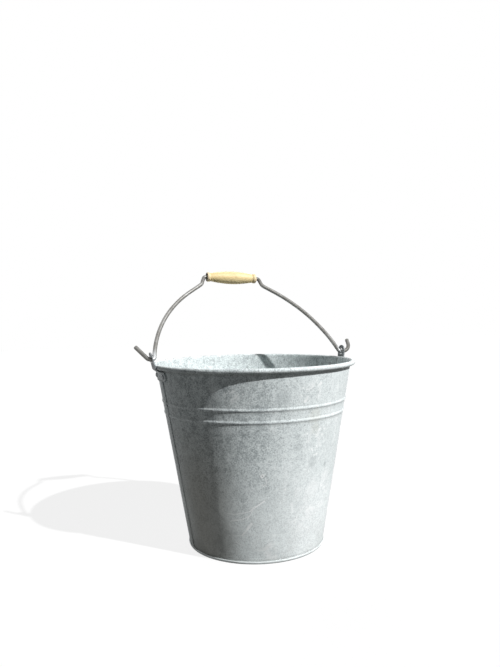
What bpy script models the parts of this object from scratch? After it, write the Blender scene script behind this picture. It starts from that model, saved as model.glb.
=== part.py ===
# Galvanised household bucket of about twelve litres: two tapered wall sheets lapped
# under the ears, a hemmed base, riveted ears, a bent wire bail and a turned wooden grip.
# Metres, +Z up. The origin is on the floor under the middle of the base, and the
# ears stand on the X axis. The bail leans back towards +Y.

import math

import bmesh
import bpy
from mathutils import Euler, Matrix, Vector

# Sheet metal
SHEET = 0.0006            # thickness of the wall and base sheets
GAP = 0.0003              # clearance between pieces that touch
FACET = math.radians(6)   # one step round the body

# Body
RIM_RADIUS = 0.150        # outside of the rolled rim
RIM_HEIGHT = 0.268        # top of the rolled rim
FOOT_RADIUS = 0.099       # outside of the wall, where its line meets the floor
ROLL_RADIUS = 0.0034      # outside of the roll's own section
ROLL_END = math.radians(305)   # where the curl stops, past the wall's outer side
ROLL_STEPS = 10
BEAD_DROPS = (0.0713, 0.0549)  # the two pressed beads, below the rim's top
BEAD_WIDTH = 0.0066
BEAD_HEIGHT = 0.0009

# Side seams, where the end of one sheet laps over the start of the other
LAP_WIDTH = 0.009
JOGGLE = 0.0009           # length of the step that lifts the lap

# Base
BASE_RECESS = 0.008       # underside of the base above the floor
BASE_CORNER = 0.0025      # bend between the base's flat and its flange
HEM_HEIGHT = 0.004        # hem outside the wall
FOOT_FLAT = 0.0009        # flat that the hem stands on, at the sheet's middle
FOOT_CHAMFER = 0.0006     # rise of the bend on either side of it
WALL_LIFT = 0.0013        # lower edge of the wall sheets above the floor

# Ears
EAR_SHEET = 0.0016
EAR_TAB_WIDTH = 0.050     # widest part, flat on the wall
EAR_TAB_DROP = 0.0234     # lower edge of the tab, below the rim's top
EAR_CORNER = 0.007        # lower corners of the tab
EAR_SHOULDER = 0.0145     # where the tab starts to narrow, below the rim's top
EAR_SHOULDER_RISE = 0.0085
EAR_SHOULDER_STOP = 0.0095     # top of the shoulders, clear of the roll
EAR_NECK_WIDTH = 0.018
EAR_NECK_BEND = math.radians(50)   # how steeply the neck leaves the wall
EAR_BLEND = 0.0085        # width over which the neck's bend fades into the shoulders
EAR_TOP = 0.0100          # top of the ear above the pivot line
EAR_LEANS = {"left": math.radians(13), "right": math.radians(4)}
EYE_CLEARANCE = 0.0012    # between the wire and the eye's edge, all round
PIVOT_RISE = 0.0075       # line that the wire turns about, above the rim's top

# Rivets
RIVET_RADIUS = 0.0020
RIVET_HEAD = 0.0035       # radius of the outer head
RIVET_TAIL = 0.0030       # radius of the flattened inner end
RIVET_SPREAD = 0.0165     # along the wall, from the middle of the ear
RIVET_DROP = 0.0155       # below the rim's top

# Bail
WIRE_RADIUS = 0.003
BAIL_LEAN = math.radians(40)
BAIL_HEIGHT = 0.15925     # middle of the grip from the pivot line
LEG_INSET = 0.0039        # the leg's line, inside the ear
SHOULDERS = {"left": (0.0158, 0.0814), "right": (0.0172, 0.0803)}   # in and up from the leg's foot
KINKS = {"left": (0.0075, 0.0163), "right": (0.0019, 0.0154)}       # out and down from the grip
GRIP_BEND = 0.005
KINK_BEND = 0.0114
EYE_BEND = 0.005
HOOK_BENDS = {"left": 0.007, "right": 0.017}
HOOK_REACH = {"left": 0.0044, "right": 0.0160}    # corner of the hook beyond the ear
HOOK_ENDS = {"left": (0.0155, 0.0235), "right": (0.0030, 0.0232)}   # out and up from its corner
BEND_STEP = math.radians(14)

# Grip
GRIP_LENGTH = 0.085
GRIP_RADIUS = 0.0104      # at its middle
GRIP_NECK = 0.0067        # inside the end collars
GRIP_COLLAR = 0.0078
COLLAR_LENGTH = 0.0065
GRIP_BORE_CLEARANCE = 0.0005
GRIP_PLAY = {"left": 0.001, "right": 0.001}    # straight wire beyond each end
GRIP_OFFSET = 0.0056      # the grip sits off the middle of the bent bail
GRIP_TILT = math.radians(-2.25)
GRIP_SIDES = 20

# Worked out from the sizes above
ROLL_MIDDLE = Vector((RIM_RADIUS - ROLL_RADIUS, RIM_HEIGHT - ROLL_RADIUS))
ROLL_LINE = ROLL_RADIUS - SHEET / 2
FOOT_LINE = FOOT_RADIUS - SHEET / 2
LAYER = SHEET + GAP       # from one sheet's middle to the next one's
PIVOT_HEIGHT = RIM_HEIGHT + PIVOT_RISE
EYE_RADIUS = WIRE_RADIUS + EYE_CLEARANCE
EYE_HEIGHT = PIVOT_HEIGHT + EYE_CLEARANCE - 2 * GAP   # the wire rests low in its eye
SIDES = {"left": -1, "right": 1}


def wall_slope():
    """Angle of the wall from upright, so that its line runs into the roll."""
    run = ROLL_MIDDLE.x - FOOT_LINE
    rise = ROLL_MIDDLE.y
    return math.atan2(run, rise) - math.asin(ROLL_LINE / math.hypot(run, rise))


SLOPE = wall_slope()
WALL_OUT = Vector((math.cos(SLOPE), -math.sin(SLOPE)))   # out of the wall, as (radius, height)


def wall_point(height, offset=0.0):
    """Point at a height on a line beside the wall's middle line, as (radius, height)."""
    return Vector((FOOT_LINE + height * math.tan(SLOPE) + offset / math.cos(SLOPE), height))


def material(name, colour, metallic, roughness):
    mat = bpy.data.materials.new(name)
    mat.use_nodes = True
    shader = mat.node_tree.nodes["Principled BSDF"]
    shader.inputs["Base Color"].default_value = (*colour, 1)
    shader.inputs["Metallic"].default_value = metallic
    shader.inputs["Roughness"].default_value = roughness
    return mat


def add_object(name, data, mat):
    data.materials.append(mat)
    obj = bpy.data.objects.new(name, data)
    bpy.context.collection.objects.link(obj)
    return obj


def mesh_object(name, bm, mat, sharp=math.radians(40)):
    """Object of a bmesh, shaded smooth except at its sharp edges."""
    bmesh.ops.recalc_face_normals(bm, faces=bm.faces)
    mesh = bpy.data.meshes.new(name)
    bm.to_mesh(mesh)
    bm.free()
    mesh.shade_smooth()
    mesh.set_sharp_from_angle(angle=sharp)
    return add_object(name, mesh, mat)


def sheet_object(name, rows, thickness, mat, keep=lambda row, column: True):
    """Sheet metal: a grid of points on the sheet's middle, thickened to both sides."""
    bm = bmesh.new()
    grid = [[bm.verts.new(point) for point in row] for row in rows]
    for i in range(len(rows) - 1):
        for j in range(len(rows[0]) - 1):
            if keep(i, j):
                bm.faces.new((grid[i][j], grid[i][j + 1], grid[i + 1][j + 1], grid[i + 1][j]))
    loose = [v for v in bm.verts if not v.link_faces]
    bmesh.ops.delete(bm, geom=loose, context="VERTS")
    obj = mesh_object(name, bm, mat)
    thicken(obj, thickness)
    return obj


def thicken(obj, thickness):
    solid = obj.modifiers.new("thickness", "SOLIDIFY")
    solid.thickness = thickness
    solid.offset = 0
    solid.use_even_offset = True


def turned_object(name, profile, steps, mat, closed=True):
    """Profile of (radius, height) points turned round the object's Z axis."""
    bm = bmesh.new()
    verts = [bm.verts.new((p[0], 0, p[1])) for p in profile]
    edges = [bm.edges.new(pair) for pair in zip(verts, verts[1:])]
    if closed:
        edges.append(bm.edges.new((verts[-1], verts[0])))
    bmesh.ops.spin(bm, geom=verts + edges, cent=(0, 0, 0), axis=(0, 0, 1),
                   angle=math.tau, steps=steps, use_duplicate=False)
    bmesh.ops.remove_doubles(bm, verts=bm.verts, dist=1e-6)
    return mesh_object(name, bm, mat)


def cutter(name, radius, length, place):
    """Round cutter along the Z axis of a placing matrix."""
    bm = bmesh.new()
    bmesh.ops.create_cone(bm, cap_ends=True, segments=16, radius1=radius, radius2=radius,
                          depth=length)
    mesh = bpy.data.meshes.new(name)
    bm.to_mesh(mesh)
    bm.free()
    obj = bpy.data.objects.new(name, mesh)
    bpy.context.collection.objects.link(obj)
    obj.matrix_world = place
    obj.hide_render = True
    obj.display_type = "WIRE"
    return obj


def cut(obj, tool):
    boolean = obj.modifiers.new("hole", "BOOLEAN")
    boolean.operation = "DIFFERENCE"
    boolean.solver = "EXACT"
    boolean.object = tool


def facing(point, direction):
    """Placing matrix at a point, with Z along a direction."""
    return Matrix.Translation(point) @ direction.to_track_quat("Z", "Y").to_matrix().to_4x4()


def around(point, angle):
    """(radius, height) at an angle round the body."""
    return Vector((point.x * math.cos(angle), point.x * math.sin(angle), point.y))


# Wall sheets

def bead_points(drop):
    """Middle line across one pressed bead, from its foot up."""
    middle = RIM_HEIGHT - drop
    points = []
    for t in (-1, -0.5, 0, 0.5, 1):
        height = middle + t * BEAD_WIDTH / 2 * math.cos(SLOPE)
        swell = BEAD_HEIGHT * (1 + math.cos(math.pi * t)) / 2
        points.append(wall_point(height) + WALL_OUT * swell)
    return points


def roll_points():
    """Middle line of the rolled rim, from the wall over the top and down outside."""
    points = []
    for k in range(ROLL_STEPS + 1):
        turn = SLOPE + (ROLL_END - SLOPE) * k / ROLL_STEPS
        points.append(ROLL_MIDDLE + ROLL_LINE * Vector((-math.cos(turn), math.sin(turn))))
    return points


def wall_sheet(name, start, mat):
    """Half of the body, from the seam at the start angle to the lap over the next sheet."""
    lap_foot = HEM_HEIGHT + 2 * GAP
    lap_top = RIM_HEIGHT - EAR_TAB_DROP - 2 * GAP
    section = [wall_point(WALL_LIFT), wall_point(lap_foot)]
    for drop in BEAD_DROPS:
        section += bead_points(drop)
    section.append(wall_point(lap_top))
    section += roll_points()

    half_turn = round(math.pi / FACET)
    columns = [(start, GAP)]
    columns += [(start + k * FACET, 0.0) for k in range(1, half_turn)]
    columns.append((start + math.pi, -JOGGLE))
    first_lap = len(columns)
    columns += [(start + math.pi, LAP_WIDTH * k / 2) for k in range(3)]

    rows = []
    for i, point in enumerate(section):
        before, after = section[max(i - 1, 0)], section[min(i + 1, len(section) - 1)]
        run = (after - before).normalized()
        lifted = point + Vector((run.y, -run.x)) * LAYER
        row = []
        for j, (angle, arc) in enumerate(columns):
            place = lifted if j >= first_lap else point
            row.append(around(place, angle + arc / point.x))
        rows.append(row)

    foot_row = 1
    top_row = len(section) - ROLL_STEPS - 2

    def keep(i, j):
        return j < first_lap - 1 or foot_row <= i < top_row

    sheet = sheet_object(name, rows, SHEET, mat, keep)
    for (side, end), tool in rivet_holes.items():
        if start < rivet_angle(side, end) < start + math.pi:
            cut(sheet, tool)
    return sheet


# Base

def base_plate(mat):
    """Pressed disc whose flange goes down inside the wall and hems its lower edge."""
    middle = BASE_RECESS + SHEET / 2
    corner = wall_point(middle, -LAYER).x - BASE_CORNER
    below = middle - BASE_CORNER
    turn = math.radians(45)
    profile = [Vector((0, middle)), Vector((corner, middle)),
               Vector((corner + BASE_CORNER * math.sin(turn),
                       below + BASE_CORNER * math.cos(turn))),
               wall_point(below, -LAYER)]
    bend = SHEET / 2 + FOOT_CHAMFER
    profile.append(wall_point(bend, -LAYER))
    foot = wall_point(0).x
    profile.append(Vector((foot - FOOT_FLAT / 2, SHEET / 2)))
    profile.append(Vector((foot + FOOT_FLAT / 2, SHEET / 2)))
    profile.append(wall_point(bend, LAYER))
    profile.append(wall_point(HEM_HEIGHT, LAYER))
    plate = turned_object("base_plate", profile, round(math.tau / FACET), mat, closed=False)
    thicken(plate, SHEET)
    return plate


# Ears

def neck_turn():
    """Radius of the ear's middle line where it rounds the roll."""
    return ROLL_RADIUS + GAP + EAR_SHEET / 2


def neck_point(lean, height):
    """Point of the leaning plate at a height, as (radius, height)."""
    foot = ROLL_MIDDLE + neck_turn() * Vector((math.cos(lean), -math.sin(lean)))
    return Vector((foot.x + (height - foot.y) * math.tan(lean), height))


def eye_radius_out(side):
    """How far the middle of an eye lies from the body's axis."""
    return neck_point(EAR_LEANS[side], PIVOT_HEIGHT).x


def tab_half_width(height):
    """Half of the tab's width at a height: round lower corners, then round shoulders."""
    from_foot = height - (RIM_HEIGHT - EAR_TAB_DROP)
    half = EAR_TAB_WIDTH / 2
    if from_foot < EAR_CORNER:
        return half - EAR_CORNER + math.sqrt(EAR_CORNER**2 - (EAR_CORNER - from_foot)**2)
    above = (height - (RIM_HEIGHT - EAR_SHOULDER)) / EAR_SHOULDER_RISE
    neck = EAR_NECK_WIDTH / 2
    if above <= 0:
        return half
    return neck + (half - neck) * math.sqrt(1 - above**2)


def ear(side, mat):
    """Tab on the wall, neck round the roll and plate with the eye, as one bent sheet."""
    lean = EAR_LEANS[side]
    offset = SHEET / 2 + GAP + EAR_SHEET / 2
    neck = EAR_NECK_WIDTH / 2
    tab_foot = RIM_HEIGHT - EAR_TAB_DROP
    tab_top = RIM_HEIGHT - EAR_SHOULDER_STOP

    # The neck leaves the tab in a straight run that just clears the roll.
    clear = ROLL_MIDDLE + neck_turn() * Vector((math.cos(EAR_NECK_BEND), -math.sin(EAR_NECK_BEND)))
    run = Vector((math.sin(EAR_NECK_BEND), math.cos(EAR_NECK_BEND)))
    back = (clear.x - wall_point(clear.y, offset).x) / (run.x - run.y * math.tan(SLOPE))
    leave = clear - run * back

    # Each row: the point on the wall, the point on the neck and the half width.
    rows = []
    for share in (0.02, 0.15, 0.45, 1):
        height = tab_foot + EAR_CORNER * share
        rows.append((wall_point(height, offset), wall_point(height, offset), tab_half_width(height)))
    rows.append((leave, leave, tab_half_width(leave.y)))
    for share in (0.5, 1):
        height = leave.y + (tab_top - leave.y) * share
        rows.append((wall_point(height, offset + GAP * share), leave.lerp(clear, 0.35 * share),
                     tab_half_width(height)))
    rows.append((wall_point(tab_top, offset + 2 * GAP), leave.lerp(clear, 0.75), neck * 1.45))
    for share in (0, 0.5, 1):
        turn = EAR_NECK_BEND + (lean - EAR_NECK_BEND) * share
        point = ROLL_MIDDLE + neck_turn() * Vector((math.cos(turn), -math.sin(turn)))
        rows.append((point, point, neck * (1.15 - 0.15 * share)))
    top = PIVOT_HEIGHT + EAR_TOP
    crown = top - neck
    for height in (EYE_HEIGHT - EYE_RADIUS, crown, crown + neck * 0.5, crown + neck * 0.85,
                   crown + neck * 0.98):
        point = neck_point(lean, height)
        above = max(height - crown, 0)
        rows.append((point, point, math.sqrt(neck**2 - above**2)))

    fractions = [k / 5 for k in range(-5, 6)]
    grid = []
    for on_wall, on_neck, half in rows:
        row = []
        for fraction in fractions:
            arc = fraction * half
            on_tab = min(max((abs(arc) - neck) / EAR_BLEND, 0), 1)
            point = on_neck.lerp(on_wall, on_tab)
            row.append(around(point, arc / point.x))
        grid.append(row)
    obj = sheet_object(f"ear_{side}", grid, EAR_SHEET, mat)
    if SIDES[side] < 0:
        obj.rotation_euler = (0, 0, math.pi)
    turned = Matrix.Rotation(0 if SIDES[side] > 0 else math.pi, 4, "Z")
    eye = around(neck_point(lean, EYE_HEIGHT), 0)
    normal = Vector((math.cos(lean), 0, -math.sin(lean)))
    cut(obj, cutter(f"eye_cutter_{side}", EYE_RADIUS, 8 * EAR_SHEET, turned @ facing(eye, normal)))
    for place in RIVET_PLACES:
        if place[0] == side:
            cut(obj, rivet_holes[place])
    return obj


# Rivets

RIVET_PLACES = [(side, end) for side in ("left", "right") for end in ("front", "back")]


def rivet_angle(side, end):
    seat = wall_point(RIM_HEIGHT - RIVET_DROP)
    spread = RIVET_SPREAD / seat.x
    if side == "right":
        return spread if end == "back" else math.tau - spread
    return math.pi - spread if end == "back" else math.pi + spread


def rivet_place(side, end):
    """Placing matrix on the wall's middle, with Z out of the wall."""
    angle = rivet_angle(side, end)
    normal = Vector((WALL_OUT.x * math.cos(angle), WALL_OUT.x * math.sin(angle), WALL_OUT.y))
    return facing(around(wall_point(RIM_HEIGHT - RIVET_DROP), angle), normal)


def rivet(side, end, mat):
    """Domed head on the ear, shank through both sheets and a flattened end inside."""
    hollow = 0.0001       # the wall curves away under the flat of each end
    head_seat = SHEET / 2 + GAP + EAR_SHEET + GAP
    tail_seat = -SHEET / 2 - GAP - hollow
    dome = RIVET_HEAD * 0.5
    tail = RIVET_TAIL * 0.35
    profile = [(0, tail_seat - tail), (RIVET_TAIL * 0.8, tail_seat - tail),
               (RIVET_TAIL, tail_seat - tail * 0.5), (RIVET_TAIL, tail_seat),
               (RIVET_RADIUS, tail_seat), (RIVET_RADIUS, head_seat), (RIVET_HEAD, head_seat)]
    for k in range(1, 4):
        turn = math.pi / 2 * k / 3
        profile.append((RIVET_HEAD * math.cos(turn), head_seat + dome * math.sin(turn)))
    profile[-1] = (0, head_seat + dome)
    obj = turned_object(f"rivet_{side}_{end}", profile, 12, mat, closed=False)
    obj.matrix_world = rivet_place(side, end)
    return obj


# Bail and grip

def rounded_path(corners):
    """Middle line of a bent wire: straight runs with a tangent arc at each (x, z, radius)."""
    points = [Vector(corners[0][:2])]
    for before, here, after in zip(corners, corners[1:], corners[2:]):
        middle = Vector(here[:2])
        back = (Vector(before[:2]) - middle).normalized()
        ahead = (Vector(after[:2]) - middle).normalized()
        turn = math.pi - back.angle(ahead)
        radius = here[2]
        tangent = radius * math.tan(turn / 2)
        centre = middle + (back + ahead).normalized() * (radius / math.cos(turn / 2))
        start = middle + back * tangent - centre
        steps = max(1, math.ceil(turn / BEND_STEP)) + (2 if radius > 0.1 else 0)
        way = 1 if start.cross(middle + ahead * tangent - centre) > 0 else -1
        for k in range(steps + 1):
            angle = way * turn * k / steps
            spoke = Vector((start.x * math.cos(angle) - start.y * math.sin(angle),
                            start.x * math.sin(angle) + start.y * math.cos(angle)))
            points.append(centre + spoke)
    points.append(Vector(corners[-1][:2]))
    return points


def bail_side(side):
    """Corners of one side of the bail in its own plane, from the grip to the hook's end."""
    sign = SIDES[side]
    along = Vector((math.cos(GRIP_TILT), math.sin(GRIP_TILT))) * sign
    out, down = KINKS[side]
    kink_run = Vector((sign * out, -down))
    allowance = GRIP_BEND * math.tan(along.angle(kink_run) / 2)
    grip_middle = Vector((GRIP_OFFSET, BAIL_HEIGHT))
    grip_end = grip_middle + along * (GRIP_LENGTH / 2 + GRIP_PLAY[side] + allowance)
    kink = grip_end + kink_run
    eye = eye_radius_out(side)
    leg_foot = Vector((sign * (eye - LEG_INSET), 0))
    inset, height = SHOULDERS[side]
    shoulder = leg_foot + Vector((-sign * inset, height))
    hook = Vector((sign * (eye + HOOK_REACH[side]), 0))
    splay, rise = HOOK_ENDS[side]
    tip = hook + Vector((sign * splay, rise))

    # The leg's arc is as wide as its two straight neighbours allow.
    to_kink, to_foot = kink - shoulder, leg_foot - shoulder
    arc_turn = math.pi - to_kink.angle(to_foot)
    kink_tangent = KINK_BEND * math.tan(kink_run.angle(-to_kink) / 2)
    foot_tangent = EYE_BEND * math.tan(to_foot.angle(Vector((sign, 0))) / 2)
    room = min(to_kink.length - kink_tangent, to_foot.length - foot_tangent) * 0.98
    arc_bend = room / math.tan(arc_turn / 2)
    return [(*grip_end, GRIP_BEND), (*kink, KINK_BEND), (*shoulder, arc_bend),
            (*leg_foot, EYE_BEND), (*hook, HOOK_BENDS[side]), (*tip, 0)]


def bail(pivot, mat):
    corners = bail_side("left")[::-1] + bail_side("right")
    curve = bpy.data.curves.new("bail", "CURVE")
    curve.dimensions = "3D"
    curve.bevel_depth = WIRE_RADIUS
    curve.bevel_resolution = 3
    curve.use_fill_caps = True
    points = rounded_path(corners)
    spline = curve.splines.new("POLY")
    spline.points.add(len(points) - 1)
    for spot, point in zip(spline.points, points):
        spot.co = (point.x, 0, point.y, 1)
    obj = add_object("bail", curve, mat)
    obj.parent = pivot
    return obj


def grip_profile():
    """Half of a turned handle's outline from the middle out, then mirrored."""
    collar_start = GRIP_LENGTH / 2 - COLLAR_LENGTH
    half = []
    for k in range(7):
        t = k / 6
        radius = GRIP_NECK + (GRIP_RADIUS - GRIP_NECK) * math.cos(t * math.pi / 2)**0.9
        half.append((radius, collar_start * t))
    half += [(GRIP_COLLAR * 0.94, collar_start + COLLAR_LENGTH * 0.22),
             (GRIP_COLLAR, collar_start + COLLAR_LENGTH * 0.55),
             (GRIP_COLLAR * 0.94, GRIP_LENGTH / 2 - COLLAR_LENGTH * 0.12),
             (GRIP_COLLAR * 0.82, GRIP_LENGTH / 2)]
    return [(r, -z) for r, z in reversed(half[1:])] + half


def grip(pivot, mat):
    bore = WIRE_RADIUS + GRIP_BORE_CLEARANCE
    profile = grip_profile()
    profile += [(bore, GRIP_LENGTH / 2), (bore, -GRIP_LENGTH / 2)]
    obj = turned_object("grip", profile, GRIP_SIDES, mat)
    obj.parent = pivot
    obj.location = (GRIP_OFFSET, 0, BAIL_HEIGHT)
    obj.rotation_euler = Euler((0, math.pi / 2 - GRIP_TILT, 0))
    return obj


for old in list(bpy.data.objects):
    bpy.data.objects.remove(old)

zinc = material("galvanised_sheet", (0.60, 0.63, 0.64), 0.8, 0.5)
base_zinc = material("galvanised_base", (0.52, 0.55, 0.56), 0.8, 0.55)
ear_zinc = material("ear_steel", (0.36, 0.38, 0.38), 0.8, 0.5)
rivet_zinc = material("rivet_steel", (0.50, 0.52, 0.53), 0.8, 0.45)
wire_zinc = material("bail_wire", (0.55, 0.57, 0.58), 0.9, 0.4)
wood = material("turned_wood", (0.78, 0.66, 0.42), 0.0, 0.55)

rivet_holes = {}
for place in RIVET_PLACES:
    rivet_holes[place] = cutter("rivet_cutter_" + "_".join(place), RIVET_RADIUS + GAP,
                                6 * EAR_SHEET, rivet_place(*place))

wall_sheet("front_wall", math.pi, zinc)
wall_sheet("back_wall", 0.0, zinc)
base_plate(base_zinc)
for side in SIDES:
    ear(side, ear_zinc)
for side, end in RIVET_PLACES:
    rivet(side, end, rivet_zinc)

bail_pivot = bpy.data.objects.new("bail_pivot", None)
bpy.context.collection.objects.link(bail_pivot)
bail_pivot.location = (0, 0, PIVOT_HEIGHT)
bail_pivot.rotation_euler = (-BAIL_LEAN, 0, 0)
bail(bail_pivot, wire_zinc)
grip(bail_pivot, wood)
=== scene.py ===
import math
from functools import reduce

import bmesh
import bpy
from mathutils import Matrix, Vector, noise


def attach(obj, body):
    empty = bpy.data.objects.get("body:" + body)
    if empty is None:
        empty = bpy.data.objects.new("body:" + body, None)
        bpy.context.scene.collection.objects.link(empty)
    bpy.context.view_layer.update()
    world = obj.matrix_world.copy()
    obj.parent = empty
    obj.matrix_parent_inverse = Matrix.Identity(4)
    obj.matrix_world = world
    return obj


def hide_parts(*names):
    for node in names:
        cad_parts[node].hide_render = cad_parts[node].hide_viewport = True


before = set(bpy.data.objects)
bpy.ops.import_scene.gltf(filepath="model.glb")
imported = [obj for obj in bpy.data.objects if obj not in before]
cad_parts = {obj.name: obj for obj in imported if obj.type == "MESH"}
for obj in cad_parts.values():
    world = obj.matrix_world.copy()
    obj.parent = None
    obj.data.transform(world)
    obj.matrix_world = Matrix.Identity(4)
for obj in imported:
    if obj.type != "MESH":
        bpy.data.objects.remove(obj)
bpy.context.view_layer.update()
print("frame loaded:", len(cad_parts), "nodes")


def placed(name, data):            # a new object in the scene
    thing = bpy.data.objects.new(name, data)
    bpy.context.scene.collection.objects.link(thing)
    return thing


# The camera stands where the photograph was taken from.
view = {
    "place": (-0.34247, -0.83502, 0.33452),
    "turn": -22.044,       # degrees, from looking along +Y
    "tilt": -1.687,
    "roll": -1.014,
    "lens": 32.613,        # mm
    "sensor": 36.0,
}


def addCamera():
    data = bpy.data.cameras.new("photoCamera")
    data.lens = view["lens"]
    data.sensor_width = view["sensor"]
    data.clip_start = 0.01
    camera = placed("photoCamera", data)
    turn = Matrix.Rotation(math.radians(view["turn"]), 4, "Z")
    tilt = Matrix.Rotation(math.radians(90 + view["tilt"]), 4, "X")
    roll = Matrix.Rotation(math.radians(view["roll"]), 4, "Z")
    camera.matrix_world = Matrix.Translation(view["place"]) @ turn @ tilt @ roll
    bpy.context.scene.camera = camera


addCamera()
print("camera placed")


# Shader maths: a Field is one output of a node, and sums on it add Math nodes.
class Field:
    def __init__(self, nodes, socket):
        self.nodes = nodes
        self.socket = socket

    def maths(self, operation, *values, clamp=False):
        return self.nodes.node("ShaderNodeMath", {"operation": operation, "use_clamp": clamp},
                               dict(enumerate(values)))

    def __add__(self, other):
        return self.maths("ADD", self, other)

    def __sub__(self, other):
        return self.maths("SUBTRACT", self, other)

    def __rsub__(self, other):
        return self.maths("SUBTRACT", other, self)

    def __mul__(self, other):
        return self.maths("MULTIPLY", self, other)

    def __truediv__(self, other):
        return self.maths("DIVIDE", self, other)

    def __rtruediv__(self, other):
        return self.maths("DIVIDE", other, self)

    __radd__ = __add__
    __rmul__ = __mul__

    def hypot(self, other):   # length of two runs at right angles
        return self.maths("SQRT", self * self + other * other)

    def size(self):           # without its sign
        return self.maths("ABSOLUTE", self)

    def held(self):           # kept between 0 and 1
        return self.maths("ADD", self, 0.0, clamp=True)

    def most(self, other):
        return self.maths("MAXIMUM", self, other)

    def rise(self, low, high):      # 0 below low, 1 above high, soft between
        settings = {"interpolation_type": "SMOOTHSTEP"}
        return self.nodes.node("ShaderNodeMapRange", settings,
                               {"Value": self, "From Min": low, "From Max": high})

    def fall(self, low, high):
        return 1 - self.rise(low, high)

    def near(self, middle, reach):  # 1 at a value, fading out at reach to both sides
        return (self - middle).size().fall(0.0, reach)


class Nodes:       # the nodes of a material or a world
    def __init__(self, owner):
        owner.use_nodes = True
        self.tree = owner.node_tree

    def node(self, kind, settings=None, sockets=None, output=0):
        node = self.tree.nodes.new(kind)
        for name, value in (settings or {}).items():
            setattr(node, name, value)
        for name, value in (sockets or {}).items():
            self.feed(node.inputs[name], value)
        return Field(self, node.outputs[output])

    def feed(self, socket, value):
        if isinstance(value, Field):
            self.tree.links.new(value.socket, socket)
        else:
            socket.default_value = value


class Finish(Nodes):      # a material, and the coordinates that its nodes start from
    def __init__(self, name, stand=None, **constants):
        self.material = bpy.data.materials.new(name)
        super().__init__(self.material)
        self.shader = self.tree.nodes["Principled BSDF"]
        for socket, value in constants.items():
            self.shader.inputs[socket.replace("_", " ")].default_value = value
        self.place = self.node("ShaderNodeTexCoord", output="Object")
        if stand:      # coordinates along a piece that stands turned in the frame
            self.place = self.node("ShaderNodeMapping", {"vector_type": "TEXTURE"}, {
                "Vector": self.place, "Location": stand.translation, "Rotation": stand.to_euler()})
        self.x, self.y, self.z = self.apart(self.place)

    def apart(self, vector):
        first = self.node("ShaderNodeSeparateXYZ", None, {0: vector})
        return [Field(self, socket) for socket in first.socket.node.outputs]

    def vector(self, operation, a, b):
        return self.node("ShaderNodeVectorMath", {"operation": operation}, {0: a, 1: b})

    def stretched(self, x, y, z):    # the coordinates, scaled by x, y and z
        return self.vector("MULTIPLY", self.place, (x, y, z))

    def clouds(self, scale, detail=3.0, roughness=0.55, distortion=0.0, at=None, output=0):
        sockets = {"Vector": at or self.place, "Scale": scale, "Detail": detail,
                   "Roughness": roughness, "Distortion": distortion}
        return self.node("ShaderNodeTexNoise", None, sockets, output)

    def crystals(self, scale, feature="F1", output="Distance", at=None):
        sockets = {"Vector": at or self.place, "Scale": scale}
        return self.node("ShaderNodeTexVoronoi", {"feature": feature}, sockets, output)

    def mix(self, share, *colours):
        first, second = [c if isinstance(c, Field) else (*c, 1) for c in colours]
        return self.node("ShaderNodeMix", {"data_type": "RGBA"},
                         {0: share, 6: first, 7: second}, 2)

    def shades(self, tone, low, high, colours):     # dark to middle to pale, as the tone rises
        darker = self.mix(tone.rise(*low), colours["dark"], colours["middle"])
        return self.mix(tone.rise(*high), darker, colours["pale"])

    def paint(self, colour, metal, rough, normal):
        for name, value in (("Base Color", colour), ("Metallic", metal),
                            ("Roughness", rough), ("Normal", normal)):
            self.feed(self.shader.inputs[name], value)
        return self.material

    def bumps(self, *layers):        # each layer: (height field, depth in metres)
        normal = None
        for height, depth in layers:
            sockets = {"Height": height, "Distance": depth}
            if normal:
                sockets["Normal"] = normal
            normal = self.node("ShaderNodeBump", None, sockets)
        return normal


# Sizes that several pieces share, in metres, as the frame has them.
body = {
    "sheet": 0.0006,
    "gap": 0.0003,
    "rim": 0.15 - 0.00003,  # outside of the roll, a hair inside the frame's own
    "top": 0.268,
    "foot": 0.099,
    "roll": 0.0034,
    "rollEnd": 305,         # degrees of curl, over the top and down outside
    "rollSteps": 26,
    "beadDrops": (0.0713, 0.0549),
    "beadWidth": 0.0066,
    "beadHeight": 0.0009,
    "lap": 0.009,
    "joggle": 0.0009,
    "wave": 0.00022,        # how far the sheet wavers in and out
    "middling": 0.12,       # a middle radius of the wall, for the dents' widths
    "nip": 0.10,            # how much smaller the roll is under an ear's neck
    "ripple": 0.016,        # and how much it varies elsewhere
    "lift": 0.0013,         # lower edge of the walls above the floor
    "hem": 0.004,
    "earFoot": 0.0234,      # lower edge of the ears' tabs, below the rim's top
    "step": 1.5,            # degrees from one column of the sheet to the next
    "row": 0.004,           # height of the plain rows between beads
}

rollMiddle = Vector((body["rim"] - body["roll"], body["top"] - body["roll"]))
rollLine = body["roll"] - body["sheet"] / 2
footLine = body["foot"] - body["sheet"] / 2
layer = body["sheet"] + body["gap"]


def wallSlope():
    run = rollMiddle.x - footLine
    rise = rollMiddle.y
    return math.atan2(run, rise) - math.asin(rollLine / math.hypot(run, rise))


slope = wallSlope()
wallOut = Vector((math.cos(slope), -math.sin(slope)))


def wallPoint(height, offset=0.0):    # (radius, height) beside the wall's middle line
    return Vector((footLine + height * math.tan(slope) + offset / math.cos(slope), height))


def around(point, angle):
    return Vector((point.x * math.cos(angle), point.x * math.sin(angle), point.y))


def smooth(value, low, high):
    share = min(max((value - low) / (high - low), 0), 1)
    return share * share * (3 - 2 * share)


# Every piece is linked and put on its body, and the frame's nodes that it stands for are hidden; the
# slot is not used.
def addPiece(name, mesh, finish, rideOn, slot, *replaced):
    mesh.materials.append(finish)
    piece = placed(name, mesh)
    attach(piece, rideOn)
    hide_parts(*replaced)


def smoothed(mesh, sharp):         # smooth, but for edges that turn more than sharp degrees
    mesh.shade_smooth()
    mesh.set_sharp_from_angle(angle=math.radians(sharp))
    return mesh


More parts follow.
